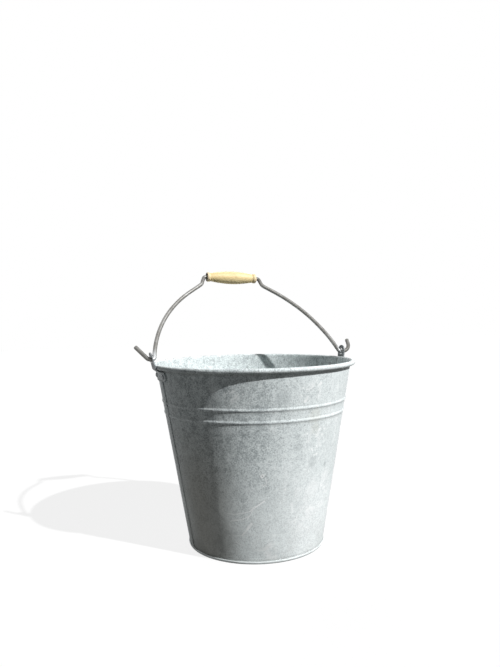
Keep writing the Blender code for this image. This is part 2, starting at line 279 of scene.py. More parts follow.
def thickness(sheet):              # half of the sheet to each side of the surface
    return "SOLIDIFY", {"thickness": sheet, "offset": 0, "use_even_offset": True}


def applied(data, *modifiers):     # the mesh after (type, settings) modifiers
    holder = placed("holder", data)
    for kind, settings in modifiers:
        modifier = holder.modifiers.new(kind, kind)
        for name, value in settings.items():
            setattr(modifier, name, value)
    bpy.context.view_layer.update()
    result = bpy.data.meshes.new_from_object(holder.evaluated_get(
        bpy.context.evaluated_depsgraph_get()))
    bpy.data.objects.remove(holder)
    return result


def meshFrom(name, bm, sharp, *modifiers):
    bmesh.ops.recalc_face_normals(bm, faces=bm.faces)
    mesh = bpy.data.meshes.new(name)
    bm.to_mesh(mesh)
    bm.free()
    if modifiers:
        mesh = applied(mesh, *modifiers)
    return smoothed(mesh, sharp)


def gridMesh(rows, keep):          # keep says which cells have a face
    bm = bmesh.new()
    grid = [[bm.verts.new(point) for point in row] for row in rows]
    for i in range(len(rows) - 1):
        for j in range(len(rows[0]) - 1):
            if keep(i, j):
                bm.faces.new((grid[i][j], grid[i][j + 1], grid[i + 1][j + 1], grid[i + 1][j]))
    bmesh.ops.delete(bm, geom=[v for v in bm.verts if not v.link_faces], context="VERTS")
    return bm


def turnedMesh(name, profile, steps, closed=False, sharp=40):
    bm = bmesh.new()
    verts = [bm.verts.new((p[0], 0, p[1])) for p in profile]
    edges = [bm.edges.new(pair) for pair in zip(verts, verts[1:])]
    if closed:
        edges.append(bm.edges.new((verts[-1], verts[0])))
    bmesh.ops.spin(bm, geom=verts + edges, cent=(0, 0, 0), axis=(0, 0, 1),
                   angle=math.tau, steps=steps, use_duplicate=False)
    bmesh.ops.remove_doubles(bm, verts=bm.verts, dist=1e-6)
    return meshFrom(name, bm, sharp)


# Weathered zinc. Marks are placed by degrees round the body and metres above the floor.
zinc = {
    "dark": (0.330, 0.368, 0.378),
    "middle": (0.515, 0.568, 0.575),
    "pale": (0.760, 0.822, 0.822),
    "bloom": (0.920, 0.965, 0.965),
    "scratched": (0.970, 0.990, 0.990),
    # the dirt colour, also used for painted shade
    "dirtAndShade": (0.150, 0.142, 0.120),
    "brown": (0.450, 0.420, 0.350),
    "stain": (0.600, 0.585, 0.470),
    "scratches": [             # from, to, half width, strength
        ((254.2, 0.0910), (246.8, 0.0808), 0.0007, 0.95),
        ((246.8, 0.0814), (243.5, 0.0756), 0.0007, 0.90),
        ((243.5, 0.0756), (233.6, 0.0715), 0.0006, 0.70),
        ((233.6, 0.0715), (226.7, 0.0720), 0.0006, 0.60),
        ((246.2, 0.0790), (241.6, 0.0640), 0.0006, 0.75),
        ((243.4, 0.0698), (238.4, 0.0645), 0.0006, 0.70),
        ((238.4, 0.0645), (229.8, 0.0617), 0.0006, 0.65),
        ((245.0, 0.0600), (240.9, 0.0487), 0.0015, 0.75),
        ((240.9, 0.0487), (237.0, 0.0410), 0.0009, 0.65),
        ((232.1, 0.0316), (239.1, 0.0265), 0.0006, 0.45),
        ((223.1, 0.0399), (248.1, 0.0428), 0.0004, 0.35),
        ((248.1, 0.0428), (273.1, 0.0401), 0.0004, 0.35),
        ((240.2, 0.1432), (260.4, 0.1420), 0.0004, 0.30),
        ((253.9, 0.1227), (255.0, 0.1151), 0.0006, 0.80),
        ((255.0, 0.1151), (253.4, 0.1107), 0.0006, 0.70),
        ((253.4, 0.1107), (250.9, 0.1131), 0.0005, 0.60),
        ((260.1, 0.1385), (260.0, 0.1325), 0.0006, 0.60),
        ((272.8, 0.0837), (274.2, 0.0690), 0.0016, 0.50),
        ((284.0, 0.1834), (281.0, 0.1640), 0.0024, 0.30),
        ((289.8, 0.1703), (292.0, 0.1564), 0.0024, 0.30),
        ((287.1, 0.2460), (284.9, 0.2400), 0.0014, 0.70),
        ((278.6, 0.2290), (277.6, 0.2215), 0.0015, 0.60),
    ],
    "paleSpots": [             # place, radius, strength
        ((252.1, 0.1248), 0.0028, 0.85), ((267.4, 0.1041), 0.0012, 0.8),
        ((287.1, 0.2442), 0.0022, 0.8), ((276.9, 0.2225), 0.0024, 0.8),
        ((275.1, 0.24), 0.0014, 0.6), ((280.2, 0.2385), 0.0013, 0.6),
        ((284.5, 0.2262), 0.0012, 0.5), ((234.6, 0.2388), 0.0012, 0.6),
        ((241.8, 0.2345), 0.0013, 0.6), ((304.0, 0.1112), 0.009, 0.35),
        ((290.0, 0.098), 0.013, 0.3),
    ],
    "smears": [                # white oxide, wiped about while wet
        ((284.5, 0.179), 0.016, 0.9), ((290.5, 0.156), 0.017, 0.9),
        ((296.0, 0.172), 0.012, 0.8), ((281.0, 0.23), 0.016, 0.6),
        ((286.0, 0.07), 0.024, 0.6), ((300.0, 0.09), 0.026, 0.7),
        ((262.0, 0.028), 0.024, 0.5), ((236.5, 0.236), 0.011, 0.55),
    ],
    "darkSpots": [
        ((300.7, 0.1287), 0.0036, 0.5), ((268.9, 0.1088), 0.0022, 0.5),
        ((286.9, 0.1368), 0.008, 0.34), ((275.1, 0.1601), 0.006, 0.34),
        ((273.7, 0.1749), 0.004, 0.34), ((254.6, 0.104), 0.004, 0.3),
        ((264.0, 0.229), 0.012, 0.28), ((252.1, 0.1248), 0.001, 0.9),
    ],
    "stains": [
        ((285.1, 0.201), 0.011, 0.2), ((286.2, 0.1835), 0.008, 0.18),
    ],
}


def wallFinish():
    f = Finish("weatheredZinc", Specular_IOR_Level=0.12)
    radius = f.x.hypot(f.y)
    angle = f.y.maths("ARCTAN2", f.y, f.x) * (180 / math.pi)
    angle = angle + 360 * (angle.maths("LESS_THAN", angle, 0.0))

    # Which way the sheet faces: 1 outside, 0 inside.
    nx, ny = f.apart(f.node("ShaderNodeTexCoord", output="Normal"))[:2]
    outside = ((nx * f.x + ny * f.y) / radius).rise(-0.04, 0.04)

    # Mottles, clouds and runs, from fine to broad.
    grain = f.clouds(560, detail=3, roughness=0.65)
    mottle = f.clouds(215, detail=4, roughness=0.62, distortion=0.4)
    patches = f.clouds(52, detail=4, roughness=0.62, distortion=0.6)
    clouds = f.clouds(13, detail=3, roughness=0.5)
    runs = f.clouds(1.0, detail=4, roughness=0.65, at=f.stretched(120, 120, 7))
    broadRuns = f.clouds(1.0, detail=3, roughness=0.5, at=f.stretched(34, 34, 3))
    drift = f.vector("MULTIPLY", f.clouds(90, detail=2, roughness=0.5, output="Color"), (0.006,) * 3)
    cellTone = f.apart(f.crystals(170, output="Color", at=f.vector("ADD", f.place, drift)))[0]

    tone = 0.3 * mottle + 0.24 * patches + 0.16 * clouds + 0.16 * runs + 0.14 * broadRuns
    tone = tone + 0.09 * (cellTone - 0.5) + 0.6 * (grain - 0.5)
    # Painted light: the side that faces the key lamp is made whiter, and the lower outside paler,
    # standing in for light bounced up from the floor.
    keyLitSide = angle.near(302, 62) * outside
    tone = tone + 0.17 * keyLitSide + 0.04 * (1 - outside) + 0.16 * f.z.fall(0.02, 0.17) * outside
    base = f.shades(tone, (0.32, 0.48), (0.4, 0.62), zinc)

    # White oxide in flecks and in streaks that run down, heavier low down. Painted light: the oxide
    # is made heavier on the side that faces the key lamp.
    flecks = (mottle * 0.55 + grain * 0.45).rise(0.56, 0.66) * patches.rise(0.42, 0.6)
    streaks = (runs * 0.6 + patches * 0.4).rise(0.51, 0.64) * (0.3 + 0.7 * keyLitSide)
    lower = f.z.fall(0.04, 0.15) * outside * (0.35 + 0.65 * keyLitSide)
    bloom = (0.55 * flecks + 0.65 * streaks + (0.75 * keyLitSide + lower) * clouds).held()
    base = f.mix(bloom, base, zinc["bloom"])
    sparkle = (0.7 * grain + 0.3 * mottle).rise(0.4, 0.58)
    base = f.mix(0.36 * (1 - sparkle), base, zinc["dark"])

    # Small dark pits and fly specks.
    pits = f.crystals(210).fall(0.1, 0.2) * f.clouds(70, detail=2).rise(0.56, 0.64)
    base = f.mix(0.55 * pits, base, zinc["dark"])

    # The listed marks, on the outside.
    wobble = (f.clouds(230, detail=2) - 0.5) * 0.0022

    def flat(mark):           # metres across and up from a mark's place
        across = (angle - mark[0]) * (math.pi / 180) * radius
        return across, f.z - mark[1]

    def spot(place, size):
        across, up = flat(place)
        ragged = wobble * (0.5 + 400 * size)
        return (across.hypot(up) + ragged).fall(size * 0.55, size * 1.35)

    def spots(kind):
        return reduce(Field.most, [strength * spot(place, size)
                                   for place, size, strength in zinc[kind]])

    def scratch(start, end, half):
        middle = ((start[0] + end[0]) / 2, (start[1] + end[1]) / 2)
        atRadius = wallPoint(middle[1]).x
        run = Vector((math.radians(end[0] - start[0]) * atRadius, end[1] - start[1]))
        unit = run.normalized()
        across, up = flat(middle)
        along = (across * unit.x + up * unit.y).size().fall(run.length * 0.42, run.length * 0.54)
        aside = (across * unit.y - up * unit.x + 0.4 * wobble).size().fall(half * 0.5, half * 1.5)
        return along * aside

    scratches = reduce(Field.most, [strength * scratch(start, end, half)
                                    for start, end, half, strength in zinc["scratches"]])
    wiped = (0.55 * patches + 0.45 * mottle).rise(0.49, 0.57)
    pale = outside * scratches.most(spots("paleSpots")).most(wiped * spots("smears"))
    base = f.mix(outside * spots("stains") * (0.45 + mottle), base, zinc["stain"])
    base = f.mix(pale, base, zinc["scratched"])
    base = f.mix(outside * spots("darkSpots") * (0.4 + patches), base, zinc["dark"])

    # Rub marks: long faint scratches, outside and inside alike.
    rubs = f.clouds(1.0, detail=2, roughness=0.4, at=f.stretched(900, 900, 45)).near(0.5, 0.014)
    rubs = rubs * f.clouds(16, detail=1).rise(0.52, 0.62)
    swirls = f.crystals(26, feature="DISTANCE_TO_EDGE").fall(0.0, 0.01)
    swirls = swirls * f.clouds(21, detail=1).rise(0.58, 0.66)
    rubbed = (0.4 * rubs + 0.3 * swirls).held()
    base = f.mix(rubbed, base, zinc["pale"])

    # Dirt above the hem and splashed low down. Painted shade, mixed in with that dirt: under and
    # over the beads, under the roll, and in the inside bottom corner.
    hemLine = f.z.near(body["hem"] + 0.001, 0.0035) * outside
    splash = f.z.fall(0.012, 0.075) * (0.45 * broadRuns + 0.55 * patches).rise(0.42, 0.62)
    beadShade = 0
    for drop in body["beadDrops"]:
        height = body["top"] - drop
        beadShade = beadShade + f.z.near(height - body["beadWidth"] * 0.52, 0.0022)
        beadShade = beadShade + 0.6 * f.z.near(height + body["beadWidth"] * 0.52, 0.0018)
    shadeUnderRoll = f.z.near(body["top"] - 2 * body["roll"] - 0.001, 0.005)
    # Painted reflection: a brown tint on the shaded lower left stands in for warm light thrown up
    # from the ground, with dust.
    warmBounceAndDust = angle.near(205, 38) * f.z.fall(0.08, 0.22)
    dirtAndShade = (0.3 * hemLine + 0.22 * splash + 0.14 * beadShade + 0.4 * shadeUnderRoll).held()
    dirtAndShade = dirtAndShade * (0.55 + 0.9 * (mottle - 0.28))
    base = f.mix(0.5 * warmBounceAndDust * outside, base, zinc["brown"])
    # Painted shade: darker in the inside bottom corner.
    corner = f.z.fall(0.01, 0.03) * (1 - outside)
    base = f.mix(dirtAndShade * outside + 0.65 * corner * (0.4 + patches), base, zinc["dirtAndShade"])

    # Tide lines on the inside, from water that stood and dried.
    tide = (f.clouds(9, detail=3) - 0.5) * 0.012 + f.z
    rings = (tide.near(0.062, 0.0016) + 0.7 * tide.near(0.071, 0.001)
             + 0.6 * tide.near(0.118, 0.0012) + 0.35 * tide.near(0.15, 0.002))
    base = f.mix(0.45 * rings * (1 - outside), base, zinc["bloom"])
    base = f.mix(0.22 * tide.fall(0.058, 0.066) * (1 - outside), base, zinc["brown"])

    # Worn metal on the roll's crown and on the upper crests of the beads, which is also a painted
    # highlight where light falls on them.
    crest = f.z.rise(body["top"] - 0.0016, body["top"] - 0.0002)
    for drop in body["beadDrops"]:
        crest = crest.most(0.4 * outside * f.z.near(body["top"] - drop + 0.0004, 0.0016))
    wearAndHighlight = (crest * (0.2 + 0.8 * f.clouds(60, detail=3).rise(0.4, 0.62))).held()
    base = f.mix(0.3 * wearAndHighlight, base, zinc["bloom"])

    metal = (0.02 + 0.1 * wearAndHighlight + 0.04 * (cellTone - 0.5)).held()
    rough = (0.5 + 0.16 * bloom + 0.2 * dirtAndShade - 0.17 * wearAndHighlight + 0.14 * (patches - 0.5)
             + 0.1 * (cellTone - 0.5)).held()
    normal = f.bumps((clouds, 0.0022), (cellTone, 0.000025), (mottle, 0.0001),
                     (bloom, 0.00006), (grain, 0.00005), (1 - pale.most(rubbed), 0.00006))
    return f.paint(base, metal, rough, normal)


# The wall sheets: fine grids on the sheets' middle, with beads, roll and seams.
dents = [                      # degrees round, height, reach, depth
    (318, 0.098, 0.026, 0.0006),
    (262, 0.150, 0.040, 0.0003),
    (205, 0.075, 0.030, 0.0004),
    (96, 0.170, 0.034, 0.0007),
    (61, 0.060, 0.022, 0.0005),
    (132, 0.105, 0.026, 0.0004),
]


def unevenness(angle, height):      # outward shift of the sheet, in metres
    quiet = smooth(height, 0.008, 0.03) * (1 - smooth(height, 0.252, 0.262))
    near = abs(math.remainder(angle, math.pi)) * body["rim"]
    if height > 0.225:
        quiet *= smooth(near, 0.026, 0.040)
    spot = Vector((math.cos(angle) * 1.6, math.sin(angle) * 1.6, height * 13))
    shift = noise.noise(spot) * body["wave"]
    for degrees, middle, reach, depth in dents:
        across = math.remainder(angle - math.radians(degrees), math.tau) * body["middling"]
        far = math.hypot(across, height - middle) / reach
        if far < 1:
            shift -= depth * (1 - smooth(far, 0, 1))
    return shift * quiet


def beadPoints(drop, steps=12):
    middle = body["top"] - drop
    points = []
    for k in range(steps + 1):
        t = 2 * k / steps - 1
        height = middle + t * body["beadWidth"] / 2 * math.cos(slope)
        swell = body["beadHeight"] * (1 + math.cos(math.pi * t)) / 2
        points.append(wallPoint(height) + wallOut * swell)
    return points


def plainPoints(low, high):        # evenly spaced heights between two others
    count = max(2, round((high - low) / body["row"]))
    return [wallPoint(low + (high - low) * k / count) for k in range(1, count)]


def wallSection():
    lapFoot = body["hem"] + 2 * body["gap"]
    lapTop = body["top"] - body["earFoot"] - 2 * body["gap"]
    points = [wallPoint(body["lift"]), wallPoint(lapFoot)]
    for drop in body["beadDrops"]:
        bead = beadPoints(drop)
        points += plainPoints(points[-1].y, bead[0].y) + bead
    points += plainPoints(points[-1].y, lapTop)
    points.append(wallPoint(lapTop))
    topRow = len(points) - 1
    rollStart = rollMiddle.y + rollLine * math.sin(slope)
    points += plainPoints(lapTop, rollStart)
    for k in range(body["rollSteps"] + 1):
        turn = slope + (math.radians(body["rollEnd"]) - slope) * k / body["rollSteps"]
        points.append(rollMiddle + rollLine * Vector((-math.cos(turn), math.sin(turn))))
    return points, topRow


def pinched(point, angle):         # the roll is nipped a little under each ear's neck
    spoke = point - rollMiddle
    if point.y < rollMiddle.y - body["roll"] * 1.2 or spoke.length > body["roll"] * 1.2:
        return point
    aside = abs(math.remainder(angle, math.pi)) * body["rim"]
    nip = 1 - smooth(aside, 0.0096, 0.0112)
    ripple = 0.5 + 0.5 * noise.noise(Vector((math.cos(angle) * 5, math.sin(angle) * 5, 0.3)))
    return rollMiddle + spoke * (1 - body["nip"] * nip - body["ripple"] * ripple)


def wallMesh(name, start):
    section, topRow = wallSection()
    step = math.radians(body["step"])
    count = round(math.pi / step)
    columns = [(start, body["gap"])]
    columns += [(start + k * step, 0.0) for k in range(1, count)]
    columns.append((start + math.pi, -body["joggle"]))
    firstLap = len(columns)
    columns += [(start + math.pi, body["lap"] * k / 5) for k in range(6)]
    rows = []
    for i, point in enumerate(section):
        before, after = section[max(i - 1, 0)], section[min(i + 1, len(section) - 1)]
        run = (after - before).normalized()
        lifted = point + Vector((run.y, -run.x)) * layer
        row = []
        for j, (angle, arc) in enumerate(columns):
            place = lifted if j >= firstLap else point
            turned = angle + arc / point.x
            place = pinched(place, turned)
            place = place + wallOut * unevenness(turned, place.y)
            row.append(around(place, turned))
        rows.append(row)
    bm = gridMesh(rows, lambda i, j: j < firstLap - 1 or 1 <= i < topRow)
    return meshFrom(name, bm, 40, thickness(body["sheet"]))


zincWall = wallFinish()
for way, start in (("front", math.pi), ("back", 0.0)):
    addPiece(way + "Sheet", wallMesh(way + "Sheet", start), zincWall, "bucket",
             "galvanised_sheet", way + "_wall")
print("wall sheets made")


# The base: a pressed disc, with its rounded hem outside the walls' lower edge.
base = {
    "recess": 0.008,
    "corner": 0.0025,
    "sag": 0.00025,         # the disc hangs a little in the middle
    "bulge": 0.0004,        # how far the hem swells outward
    "steps": 180,
    "rings": 16,
}


def baseProfile():
    middle = base["recess"] + body["sheet"] / 2
    corner = wallPoint(middle, -layer).x - base["corner"]
    points = []
    for k in range(base["rings"] + 1):
        share = k / base["rings"]
        points.append(Vector((corner * share, middle - base["sag"] * math.cos(share * math.pi / 2))))
    centre = Vector((corner, middle - base["corner"]))
    for k in range(1, 7):
        turn = math.radians(15 * k)
        points.append(centre + base["corner"] * Vector((math.sin(turn), math.cos(turn))))
    points[-1] = wallPoint(centre.y, -layer)
    bend = body["sheet"] / 2 + layer
    for k in range(1, 4):
        points.append(wallPoint(centre.y + (bend - centre.y) * k / 3, -layer))
    foot = Vector((wallPoint(bend).x, bend))
    for k in range(1, 12):
        turn = math.pi * k / 12
        points.append(foot + layer * Vector((-math.cos(turn), -math.sin(turn))))
    for k in range(9):
        height = bend + (body["hem"] - bend) * k / 8
        swell = base["bulge"] * math.sin(math.pi * k / 8)
        points.append(wallPoint(height, layer + swell))
    return points


def baseFinish():
    f = Finish("baseZinc", Specular_IOR_Level=0.18)
    radius = f.x.hypot(f.y)
    grain = f.clouds(620, detail=3, roughness=0.6)
    mottle = f.clouds(150, detail=4, roughness=0.62, distortion=0.4)
    patches = f.clouds(34, detail=4, roughness=0.6, distortion=0.6)
    clouds = f.clouds(12, detail=3)
    cellTone = f.apart(f.crystals(120, output="Color"))[0]
    tone = 0.34 * mottle + 0.3 * patches + 0.36 * clouds + 0.1 * (cellTone - 0.5)
    tone = tone + 0.12 * (grain - 0.5)
    steel = f.shades(tone, (0.34, 0.5), (0.46, 0.66), zinc)

    # Silt dried on the bottom: thicker towards the corner, with tide rings.
    inside = f.z.rise(body["hem"] + 0.003, body["hem"] + 0.004) * radius.fall(0.098, 0.0995)
    wander = radius + (f.clouds(22, detail=3) - 0.5) * 0.018
    silt = (wander.rise(0.06, 0.094) * (0.35 + patches) + 0.8 * wander.near(0.052, 0.0016)
            + 0.5 * wander.near(0.031, 0.0012)).held()
    specks = f.crystals(330).fall(0.1, 0.22) * f.clouds(60, detail=2).rise(0.54, 0.66)
    steel = f.mix(0.6 * silt * inside, steel, zinc["brown"])
    steel = f.mix(0.7 * specks, steel, zinc["dirtAndShade"])

    # The hem is rubbed bright on its upper face, which is also a painted highlight, and darkened
    # where it stands on the ground, which is painted shade with dirt.
    hem = radius.rise(0.099, 0.0996)
    groundShadeAndDirt = f.z.fall(0.0004, 0.0013)
    hemRubAndHighlight = hem * f.z.rise(0.0008, 0.0022) * (0.65 + patches).held()
    steel = f.mix(0.7 * hemRubAndHighlight, steel, zinc["bloom"])
    steel = f.mix(0.85 * groundShadeAndDirt * (0.5 + patches), steel, zinc["dirtAndShade"])
    metal = (0.05 + 0.06 * hemRubAndHighlight).held()
    rough = (0.52 + 0.25 * silt * inside - 0.05 * hemRubAndHighlight + 0.14 * (patches - 0.5)).held()
    normal = f.bumps((clouds, 0.0025), (mottle, 0.00022), (silt, 0.00012), (grain, 0.00003))
    return f.paint(steel, metal, rough, normal)


baseDisc = applied(turnedMesh("baseDisc", baseProfile(), base["steps"]), thickness(body["sheet"]))
addPiece("baseDisc", baseDisc, baseFinish(), "bucket", "galvanised_base", "base_plate")
print("base made")


# The ears: tab on the wall, neck round the roll and plate with the eye.
ear = {
    "sheet": 0.0016,
    "tabWidth": 0.050,
    "corner": 0.007,
    "shoulder": 0.0145,
    "shoulderRise": 0.0085,
    "shoulderStop": 0.0095,
    "neck": 0.009,          # half of the neck's width
    "neckBend": math.radians(50),
    "blend": 0.0085,
    "top": 0.0100,
    "lean": {"left": math.radians(13), "right": math.radians(4)},
    "eye": 0.0042,
    "pivotRise": 0.0075,    # the line that the wire turns about, above the rim
    "eyeRise": 0.0006,      # middle of the eye above that line
    "columns": 24,
    "rings": 5,
    "edge": 0.0003,         # rounding of the sheet's edges
    "rivetSpread": 0.0165,
    "rivetDrop": 0.0155,
    # Painted shade: the ears' zinc is set darker than the wall's, to the shaded look of the ears.
    "dark": (0.140, 0.153, 0.160),
    "middle": (0.225, 0.242, 0.250),
    "pale": (0.340, 0.362, 0.370),
    "rubbed": (0.640, 0.660, 0.660),
    "grimeAndShade": (0.110, 0.104, 0.090),
}
neckTurn = body["roll"] + body["gap"] + ear["sheet"] / 2
pivotHeight = body["top"] + ear["pivotRise"]
sides = {"left": -1, "right": 1}


def aroundRoll(turn):      # the ear's middle, where it passes round the roll
    return rollMiddle + neckTurn * Vector((math.cos(turn), -math.sin(turn)))


def neckPoint(lean, height):
    foot = aroundRoll(lean)
    return Vector((foot.x + (height - foot.y) * math.tan(lean), height))


def tabHalfWidth(height):
    fromFoot = height - (body["top"] - body["earFoot"])
    half = ear["tabWidth"] / 2
    if fromFoot < ear["corner"]:
        return half - ear["corner"] + math.sqrt(ear["corner"]**2 - (ear["corner"] - fromFoot)**2)
    above = (height - (body["top"] - ear["shoulder"])) / ear["shoulderRise"]
    if above <= 0:
        return half
    return ear["neck"] + (half - ear["neck"]) * math.sqrt(1 - above**2)


def earRows(lean):      # (point on the wall, point on the neck, half width), from the foot up
    offset = body["sheet"] / 2 + body["gap"] + ear["sheet"] / 2
    neck = ear["neck"]
    tabFoot = body["top"] - body["earFoot"]
    tabTop = body["top"] - ear["shoulderStop"]
    bend = ear["neckBend"]
    clear = aroundRoll(bend)
    run = Vector((math.sin(bend), math.cos(bend)))
    back = (clear.x - wallPoint(clear.y, offset).x) / (run.x - run.y * math.tan(slope))
    leave = clear - run * back
    cornerTop = tabFoot + ear["corner"]
    heights = [tabFoot + ear["corner"] * max(1 - math.cos(math.pi * k / 16), 0.004)
               for k in range(9)]
    heights += [cornerTop + (leave.y - cornerTop) * k / 3 for k in range(1, 4)]
    rows = [(wallPoint(height, offset), wallPoint(height, offset), tabHalfWidth(height))
            for height in heights]
    for k in range(1, 7):
        share = k / 6
        height = leave.y + (tabTop - leave.y) * share
        rows.append((wallPoint(height, offset + body["gap"] * share),
                     leave.lerp(clear, 0.35 * share), tabHalfWidth(height)))
    shoulder = rows[-1][2]
    for k in range(1, 5):
        share = k / 4
        rows.append((wallPoint(tabTop, offset + body["gap"] * (1 + share)),
                     leave.lerp(clear, 0.35 + 0.40 * share),
                     shoulder + (neck * 1.45 - shoulder) * share))
    for k in range(9):
        share = k / 8
        point = aroundRoll(bend + (lean - bend) * share)
        rows.append((point, point, neck * (1.15 - 0.15 * share)))
    eyeFoot = pivotHeight + ear["eyeRise"] - neck
    for k in (1, 2):
        height = rows[-1][1].y + (eyeFoot - rows[-1][1].y) * k / 2
        point = neckPoint(lean, height)
        rows.append((point, point, neck))
    return rows


def earMesh(name, side):
    lean = ear["lean"][side]
    neck = ear["neck"]
    bm = bmesh.new()
    half = ear["columns"] // 2
    lines = []
    for onWall, onNeck, width in earRows(lean):
        line = []
        for j in range(-half, half + 1):
            arc = width * j / half
            onTab = smooth(abs(arc), neck, neck + ear["blend"])
            point = onNeck.lerp(onWall, onTab)
            line.append(bm.verts.new(around(point, arc / point.x)))
        lines.append(line)
    for low, high in zip(lines, lines[1:]):
        for j in range(len(low) - 1):
            bm.faces.new((low[j], low[j + 1], high[j + 1], high[j]))

    # Round the eye: rings from the plate's outline in to the hole.
    eyeHeight = pivotHeight + ear["eyeRise"]
    crown = pivotHeight + ear["top"] - neck
    outline = [(neck, eyeHeight - neck + (crown - eyeHeight + neck) * k / 8) for k in range(1, 9)]
    outline += [(neck * math.cos(math.pi * k / 30), crown + neck * math.sin(math.pi * k / 30))
                for k in range(1, 31)]
    outline += [(-u, h) for u, h in outline[7::-1]][1:]
    outer = [Vector((u, (h - eyeHeight) / math.cos(lean))) for u, h in outline]

    def onPlate(spot):
        point = neckPoint(lean, eyeHeight + spot.y * math.cos(lean))
        return around(point, spot.x / point.x)

    lower = [Vector((neck * j / half, -neck / math.cos(lean))) for j in range(-half, half + 1)]
    loop = lower + outer
    rings = [lines[-1] + [bm.verts.new(onPlate(spot)) for spot in outer]]
    for k in range(1, ear["rings"] + 1):
        ring = [spot.lerp(spot.normalized() * ear["eye"], k / ear["rings"]) for spot in loop]
        rings.append([bm.verts.new(onPlate(spot)) for spot in ring])
    for wide, narrow in zip(rings, rings[1:]):
        for j in range(len(wide)):
            nextOne = (j + 1) % len(wide)
            bm.faces.new((wide[j], wide[nextOne], narrow[nextOne], narrow[j]))
    if side == "left":
        bmesh.ops.rotate(bm, verts=bm.verts, matrix=Matrix.Rotation(math.pi, 3, "Z"))
    return meshFrom(name, bm, 50, thickness(ear["sheet"]), (
        "BEVEL", {"width": ear["edge"], "segments": 2, "limit_method": "ANGLE",
                  "angle_limit": math.radians(50), "use_clamp_overlap": True}))


def earFinish(side):
    f = Finish("earZinc_" + side, Specular_IOR_Level=0.35)
    grain = f.clouds(900, detail=3, roughness=0.6)
    mottle = f.clouds(260, detail=4, roughness=0.6)
    patches = f.clouds(75, detail=4, roughness=0.6, distortion=0.5)
    tone = 0.5 * mottle + 0.5 * patches + 0.2 * (grain - 0.5)
    steel = f.shades(tone, (0.34, 0.52), (0.48, 0.68), ear)
    tab = f.z.fall(body["top"] - 0.013, body["top"] - 0.007)
    steel = f.mix(0.55 * tab * (0.5 + mottle), steel, zinc["middle"])

    # Rubbed bright where the wire turns in the eye, and along the edges of the plate.
    eyeUp = f.z - (pivotHeight + ear["eyeRise"])
    rub = f.y.hypot(eyeUp).fall(ear["eye"] + 0.0004, ear["eye"] + 0.0022)
    rub = rub * f.z.rise(pivotHeight - 0.009, pivotHeight - 0.006)
    steel = f.mix(0.75 * rub * (0.4 + patches), steel, ear["rubbed"])
    # Painted shade along the tab's lower edge and in a ring round the rivets.
    tabFoot = body["top"] - body["earFoot"]
    tabEdge = f.z.fall(tabFoot + 0.0008, tabFoot + 0.004)
    up = f.z - (body["top"] - ear["rivetDrop"])
    aside = f.y.size() - ear["rivetSpread"]
    grimeAndShade = (0.3 * tabEdge + 0.12 * aside.hypot(up).near(0.0042, 0.0014)).held() * (0.4 + mottle)
    steel = f.mix(grimeAndShade, steel, ear["grimeAndShade"])
    metal = (0.1 + 0.4 * rub).held()
    rough = (0.52 - 0.2 * rub + 0.2 * grimeAndShade + 0.15 * (patches - 0.5)).held()
    normal = f.bumps((patches, 0.0004), (mottle, 0.00012), (grain, 0.00003))
    return f.paint(steel, metal, rough, normal)


for side in sides:
    addPiece("earPlate_" + side, earMesh("earPlate_" + side, side), earFinish(side),
             "bucket", "ear_steel", "ear_" + side)
print("ears made")


# The rivets: hammered domes outside, flattened ends inside.
rivet = {
    "radius": 0.0020,
    "head": 0.0035,
    "tail": 0.0030,
    "tailRise": 0.35,       # shares of the tail's and the head's radius
    "dome": 0.5,
    "steps": 28,
    "hollow": 0.0001,       # the wall curves away under each end
    "hammered": 0.00016,    # depth of the hammer's marks
    "dark": (0.260, 0.278, 0.286),
    "pale": (0.450, 0.478, 0.486),
}


def rivetMesh(name, side, end, seed):
    headSeat = body["sheet"] / 2 + body["gap"] + ear["sheet"] + body["gap"]
    tailSeat = -body["sheet"] / 2 - body["gap"] - rivet["hollow"]
    dome = rivet["head"] * rivet["dome"]
    tail = rivet["tail"] * rivet["tailRise"]
    profile = [(rivet["tail"] * out, tailSeat - tail * down) for out, down in (
        (0, 1), (0.5, 1), (0.8, 0.95), (0.96, 0.75), (1, 0.4), (0.97, 0))]
    profile += [(rivet["radius"], tailSeat), (rivet["radius"], headSeat),
                (rivet["head"] * 0.98, headSeat)]
    for k in range(8):
        turn = math.pi / 2 * k / 8
        rise = dome * (0.08 + 0.92 * math.sin(turn))
        profile.append((rivet["head"] * math.cos(turn), headSeat + rise))
    profile.append((0, headSeat + dome))
    mesh = turnedMesh(name, profile, rivet["steps"])
    for vertex in mesh.vertices:
        if vertex.co.z > headSeat + 0.0002:
            dent = noise.noise(vertex.co * 420 + Vector((seed * 3.1, 0, 0)))
            vertex.co.z -= rivet["hammered"] * (0.5 + 0.5 * dent)
    middle = wallPoint(body["top"] - ear["rivetDrop"])
    spread = ear["rivetSpread"] / middle.x * (1 if end == "back" else -1)
    angle = spread if side == "right" else math.pi - spread
    out = around(wallOut, angle).to_track_quat("Z", "Y").to_matrix().to_4x4()
    mesh.transform(Matrix.Translation(around(middle, angle)) @ out)
    return mesh


def rivetFinish():
    f = Finish("rivetZinc", Specular_IOR_Level=0.4)
    grain = f.clouds(1100, detail=3)
    patches = f.clouds(260, detail=4, roughness=0.6)
    steel = f.mix(patches.rise(0.36, 0.62), rivet["dark"], rivet["pale"])
    normal = f.bumps((patches, 0.0002), (grain, 0.00003))
    return f.paint(steel, 0.3 * patches, 0.4 + 0.25 * grain, normal)


rivetZinc = rivetFinish()
rivetPlaces = [(side, end) for side in sides for end in ("front", "back")]
for seed, (side, end) in enumerate(rivetPlaces):
    name = "rivetHead_" + side + "_" + end
    addPiece(name, rivetMesh(name, side, end, seed), rivetZinc, "bucket", "rivet_steel",
             "rivet_" + side + "_" + end)
print("rivets made")


